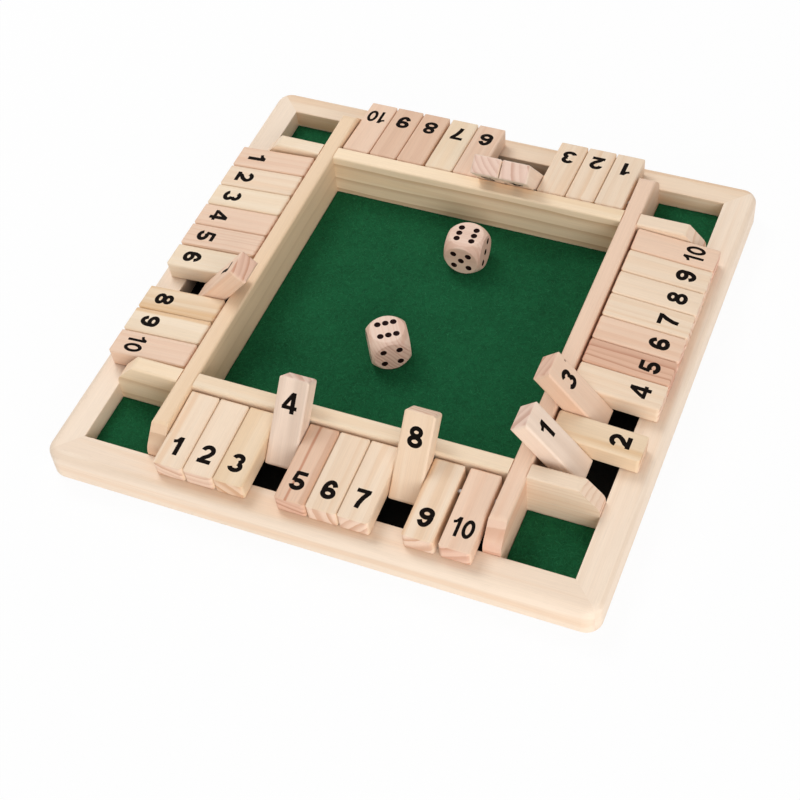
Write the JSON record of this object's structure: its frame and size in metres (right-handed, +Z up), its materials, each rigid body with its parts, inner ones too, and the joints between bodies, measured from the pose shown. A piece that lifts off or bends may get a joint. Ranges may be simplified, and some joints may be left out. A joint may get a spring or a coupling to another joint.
{
  "type": "shut the box game",
  "caption": "Four-player shut the box game: square wooden tray with a felt play area, rows of numbered flip tiles on steel rods along all sides, and dice.",
  "frame": {"origin": "middle of the underside of the frame, on the surface the box stands on", "axes": "+X to the right and +Y to the back, seen from the player at the front row; +Z up"},
  "size_m": [0.2248, 0.2248, 0.0429],
  "materials": {
    "frame_pine": "smooth pale pine, clear satin",
    "rail_pine": "smooth pale pine, clear satin",
    "tile_pine": "smooth pale pine, clear satin, black printed numbers",
    "plywood": "plain plywood, matt",
    "green_felt": "short green felt",
    "black_felt": "short black felt",
    "rod_steel": "plain drawn steel",
    "dice_wood": "smooth pale hardwood, dark painted pips"
  },
  "bodies": {
    "box": {"base_board": "plywood", "play_felt": "green_felt", "pocket_felts": "green_felt", "tray_liners": "black_felt", "frame_front": "frame_pine", "frame_right": "frame_pine", "frame_back": "frame_pine", "frame_left": "frame_pine", "rail_left": "rail_pine", "rail_right": "rail_pine", "rail_front": "rail_pine", "rail_back": "rail_pine", "end_wall_left_front": "rail_pine", "end_wall_left_back": "rail_pine", "end_wall_right_front": "rail_pine", "end_wall_right_back": "rail_pine", "hinge_rods": "rod_steel"},
    "front_tile_1": {"front_tile_1": "tile_pine"},
    "front_tile_2": {"front_tile_2": "tile_pine"},
    "front_tile_3": {"front_tile_3": "tile_pine"},
    "front_tile_4": {"front_tile_4": "tile_pine"},
    "front_tile_5": {"front_tile_5": "tile_pine"},
    "front_tile_6": {"front_tile_6": "tile_pine"},
    "front_tile_7": {"front_tile_7": "tile_pine"},
    "front_tile_8": {"front_tile_8": "tile_pine"},
    "front_tile_9": {"front_tile_9": "tile_pine"},
    "front_tile_10": {"front_tile_10": "tile_pine"},
    "right_tile_1": {"right_tile_1": "tile_pine"},
    "right_tile_2": {"right_tile_2": "tile_pine"},
    "right_tile_3": {"right_tile_3": "tile_pine"},
    "right_tile_4": {"right_tile_4": "tile_pine"},
    "right_tile_5": {"right_tile_5": "tile_pine"},
    "right_tile_6": {"right_tile_6": "tile_pine"},
    "right_tile_7": {"right_tile_7": "tile_pine"},
    "right_tile_8": {"right_tile_8": "tile_pine"},
    "right_tile_9": {"right_tile_9": "tile_pine"},
    "right_tile_10": {"right_tile_10": "tile_pine"},
    "back_tile_1": {"back_tile_1": "tile_pine"},
    "back_tile_2": {"back_tile_2": "tile_pine"},
    "back_tile_3": {"back_tile_3": "tile_pine"},
    "back_tile_4": {"back_tile_4": "tile_pine"},
    "back_tile_5": {"back_tile_5": "tile_pine"},
    "back_tile_6": {"back_tile_6": "tile_pine"},
    "back_tile_7": {"back_tile_7": "tile_pine"},
    "back_tile_8": {"back_tile_8": "tile_pine"},
    "back_tile_9": {"back_tile_9": "tile_pine"},
    "back_tile_10": {"back_tile_10": "tile_pine"},
    "left_tile_1": {"left_tile_1": "tile_pine"},
    "left_tile_2": {"left_tile_2": "tile_pine"},
    "left_tile_3": {"left_tile_3": "tile_pine"},
    "left_tile_4": {"left_tile_4": "tile_pine"},
    "left_tile_5": {"left_tile_5": "tile_pine"},
    "left_tile_6": {"left_tile_6": "tile_pine"},
    "left_tile_7": {"left_tile_7": "tile_pine"},
    "left_tile_8": {"left_tile_8": "tile_pine"},
    "left_tile_9": {"left_tile_9": "tile_pine"},
    "left_tile_10": {"left_tile_10": "tile_pine"},
    "die_a": {"die_a": "dice_wood"},
    "die_b": {"die_b": "dice_wood"}
  },
  "joints": [
    {"name": "front_tile_1_flip", "type": "hinge", "parent": "box", "child": "front_tile_1", "pos_m": [-0.05835, -0.0817, 0.02063], "axis": [-1, 0, 0], "range_deg": [0, 133.91]},
    {"name": "front_tile_2_flip", "type": "hinge", "parent": "box", "child": "front_tile_2", "pos_m": [-0.04569, -0.0817, 0.02063], "axis": [-1, 0, 0], "range_deg": [0, 133.91]},
    {"name": "front_tile_3_flip", "type": "hinge", "parent": "box", "child": "front_tile_3", "pos_m": [-0.03304, -0.0817, 0.02063], "axis": [-1, 0, 0], "range_deg": [0, 133.91]},
    {"name": "front_tile_4_flip", "type": "hinge", "parent": "box", "child": "front_tile_4", "pos_m": [-0.02039, -0.0817, 0.02063], "axis": [-1, 0, 0], "range_deg": [-133.91, 0]},
    {"name": "front_tile_5_flip", "type": "hinge", "parent": "box", "child": "front_tile_5", "pos_m": [-0.00775, -0.0817, 0.02063], "axis": [-1, 0, 0], "range_deg": [0, 133.91]},
    {"name": "front_tile_6_flip", "type": "hinge", "parent": "box", "child": "front_tile_6", "pos_m": [0.0049, -0.0817, 0.02063], "axis": [-1, 0, 0], "range_deg": [0, 133.91]},
    {"name": "front_tile_7_flip", "type": "hinge", "parent": "box", "child": "front_tile_7", "pos_m": [0.01756, -0.0817, 0.02063], "axis": [-1, 0, 0], "range_deg": [0, 133.91]},
    {"name": "front_tile_8_flip", "type": "hinge", "parent": "box", "child": "front_tile_8", "pos_m": [0.0302, -0.0817, 0.02063], "axis": [-1, 0, 0], "range_deg": [-133.91, 0]},
    {"name": "front_tile_9_flip", "type": "hinge", "parent": "box", "child": "front_tile_9", "pos_m": [0.04285, -0.0817, 0.02063], "axis": [-1, 0, 0], "range_deg": [0, 133.91]},
    {"name": "front_tile_10_flip", "type": "hinge", "parent": "box", "child": "front_tile_10", "pos_m": [0.0571, -0.0817, 0.02063], "axis": [-1, 0, 0], "range_deg": [0, 124.53]},
    {"name": "right_tile_1_flip", "type": "hinge", "parent": "box", "child": "right_tile_1", "pos_m": [0.0817, -0.0555, 0.02063], "axis": [0, -1, 0], "range_deg": [-133.91, 0]},
    {"name": "right_tile_2_flip", "type": "hinge", "parent": "box", "child": "right_tile_2", "pos_m": [0.0817, -0.04285, 0.02063], "axis": [0, -1, 0], "range_deg": [0, 133.91]},
    {"name": "right_tile_3_flip", "type": "hinge", "parent": "box", "child": "right_tile_3", "pos_m": [0.0817, -0.0302, 0.02063], "axis": [0, -1, 0], "range_deg": [-133.91, 0]},
    {"name": "right_tile_4_flip", "type": "hinge", "parent": "box", "child": "right_tile_4", "pos_m": [0.0817, -0.01756, 0.02063], "axis": [0, -1, 0], "range_deg": [0, 133.91]},
    {"name": "right_tile_5_flip", "type": "hinge", "parent": "box", "child": "right_tile_5", "pos_m": [0.0817, -0.0049, 0.02063], "axis": [0, -1, 0], "range_deg": [0, 133.91]},
    {"name": "right_tile_6_flip", "type": "hinge", "parent": "box", "child": "right_tile_6", "pos_m": [0.0817, 0.00775, 0.02063], "axis": [0, -1, 0], "range_deg": [0, 133.91]},
    {"name": "right_tile_7_flip", "type": "hinge", "parent": "box", "child": "right_tile_7", "pos_m": [0.0817, 0.02039, 0.02063], "axis": [0, -1, 0], "range_deg": [0, 133.91]},
    {"name": "right_tile_8_flip", "type": "hinge", "parent": "box", "child": "right_tile_8", "pos_m": [0.0817, 0.03304, 0.02063], "axis": [0, -1, 0], "range_deg": [0, 133.91]},
    {"name": "right_tile_9_flip", "type": "hinge", "parent": "box", "child": "right_tile_9", "pos_m": [0.0817, 0.04569, 0.02063], "axis": [0, -1, 0], "range_deg": [0, 133.91]},
    {"name": "right_tile_10_flip", "type": "hinge", "parent": "box", "child": "right_tile_10", "pos_m": [0.0817, 0.05835, 0.02063], "axis": [0, -1, 0], "range_deg": [0, 124.53]},
    {"name": "back_tile_1_flip", "type": "hinge", "parent": "box", "child": "back_tile_1", "pos_m": [0.0571, 0.0817, 0.02063], "axis": [1, 0, 0], "range_deg": [0, 133.91]},
    {"name": "back_tile_2_flip", "type": "hinge", "parent": "box", "child": "back_tile_2", "pos_m": [0.04439, 0.0817, 0.02063], "axis": [1, 0, 0], "range_deg": [0, 133.91]},
    {"name": "back_tile_3_flip", "type": "hinge", "parent": "box", "child": "back_tile_3", "pos_m": [0.03168, 0.0817, 0.02063], "axis": [1, 0, 0], "range_deg": [0, 133.91]},
    {"name": "back_tile_4_flip", "type": "hinge", "parent": "box", "child": "back_tile_4", "pos_m": [0.01897, 0.0817, 0.02063], "axis": [1, 0, 0], "range_deg": [-133.91, 0]},
    {"name": "back_tile_5_flip", "type": "hinge", "parent": "box", "child": "back_tile_5", "pos_m": [0.00627, 0.0817, 0.02063], "axis": [1, 0, 0], "range_deg": [-133.91, 0]},
    {"name": "back_tile_6_flip", "type": "hinge", "parent": "box", "child": "back_tile_6", "pos_m": [-0.00644, 0.0817, 0.02063], "axis": [1, 0, 0], "range_deg": [0, 133.91]},
    {"name": "back_tile_7_flip", "type": "hinge", "parent": "box", "child": "back_tile_7", "pos_m": [-0.01915, 0.0817, 0.02063], "axis": [1, 0, 0], "range_deg": [0, 133.91]},
    {"name": "back_tile_8_flip", "type": "hinge", "parent": "box", "child": "back_tile_8", "pos_m": [-0.03257, 0.0817, 0.02063], "axis": [1, 0, 0], "range_deg": [0, 133.91]},
    {"name": "back_tile_9_flip", "type": "hinge", "parent": "box", "child": "back_tile_9", "pos_m": [-0.04528, 0.0817, 0.02063], "axis": [1, 0, 0], "range_deg": [0, 133.91]},
    {"name": "back_tile_10_flip", "type": "hinge", "parent": "box", "child": "back_tile_10", "pos_m": [-0.05799, 0.0817, 0.02063], "axis": [1, 0, 0], "range_deg": [0, 124.53]},
    {"name": "left_tile_1_flip", "type": "hinge", "parent": "box", "child": "left_tile_1", "pos_m": [-0.0817, 0.05732, 0.02063], "axis": [0, 1, 0], "range_deg": [0, 133.91]},
    {"name": "left_tile_2_flip", "type": "hinge", "parent": "box", "child": "left_tile_2", "pos_m": [-0.0817, 0.04463, 0.02063], "axis": [0, 1, 0], "range_deg": [0, 133.91]},
    {"name": "left_tile_3_flip", "type": "hinge", "parent": "box", "child": "left_tile_3", "pos_m": [-0.0817, 0.03194, 0.02063], "axis": [0, 1, 0], "range_deg": [0, 133.91]},
    {"name": "left_tile_4_flip", "type": "hinge", "parent": "box", "child": "left_tile_4", "pos_m": [-0.0817, 0.01925, 0.02063], "axis": [0, 1, 0], "range_deg": [0, 133.91]},
    {"name": "left_tile_5_flip", "type": "hinge", "parent": "box", "child": "left_tile_5", "pos_m": [-0.0817, 0.00656, 0.02063], "axis": [0, 1, 0], "range_deg": [0, 133.91]},
    {"name": "left_tile_6_flip", "type": "hinge", "parent": "box", "child": "left_tile_6", "pos_m": [-0.0817, -0.00649, 0.02063], "axis": [0, 1, 0], "range_deg": [0, 133.91]},
    {"name": "left_tile_7_flip", "type": "hinge", "parent": "box", "child": "left_tile_7", "pos_m": [-0.0817, -0.01918, 0.02063], "axis": [0, 1, 0], "range_deg": [-133.91, 0]},
    {"name": "left_tile_8_flip", "type": "hinge", "parent": "box", "child": "left_tile_8", "pos_m": [-0.0817, -0.03187, 0.02063], "axis": [0, 1, 0], "range_deg": [0, 133.91]},
    {"name": "left_tile_9_flip", "type": "hinge", "parent": "box", "child": "left_tile_9", "pos_m": [-0.0817, -0.04456, 0.02063], "axis": [0, 1, 0], "range_deg": [0, 133.91]},
    {"name": "left_tile_10_flip", "type": "hinge", "parent": "box", "child": "left_tile_10", "pos_m": [-0.0817, -0.05724, 0.02063], "axis": [0, 1, 0], "range_deg": [0, 124.53]},
    {"name": "die_a_lift", "type": "slide", "parent": "box", "child": "die_a", "axis": [0, 0, 1], "range_m": [0, 0.06]},
    {"name": "die_b_lift", "type": "slide", "parent": "box", "child": "die_b", "axis": [0, 0, 1], "range_m": [0, 0.06]}
  ]
}
